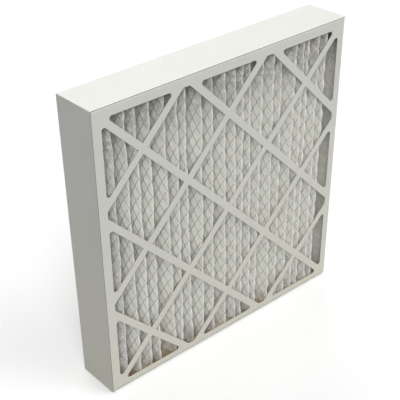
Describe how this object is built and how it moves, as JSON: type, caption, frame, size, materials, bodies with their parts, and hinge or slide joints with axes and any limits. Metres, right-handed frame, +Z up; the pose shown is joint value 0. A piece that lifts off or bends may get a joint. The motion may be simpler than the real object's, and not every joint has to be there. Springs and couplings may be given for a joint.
{
  "type": "pleated panel air filter",
  "caption": "Square pleated panel air filter: a folded white board frame with diagonal face straps round a wire-backed pleated media pack.",
  "frame": {"origin": "under the middle of the bottom edge that the panel stands on", "axes": "+X along the width, across the pleats; +Y through the depth, from the front face to the rear; +Z up"},
  "size_m": [0.5936, 0.0952, 0.5937],
  "materials": {
    "front_board": "clay-coated board, white",
    "rear_board": "clay-coated board, white",
    "filter_media": "matt nonwoven, white",
    "expanded_metal": "dull zinc",
    "sealant": "off-white hot melt"
  },
  "bodies": {
    "root": {"front_frame": "front_board", "rear_frame": "rear_board", "pleated_media": "filter_media", "support_grid": "expanded_metal", "bottom_glue_bed": "sealant", "top_glue_bed": "sealant", "left_glue_strip": "sealant", "right_glue_strip": "sealant"}
  },
  "joints": []
}
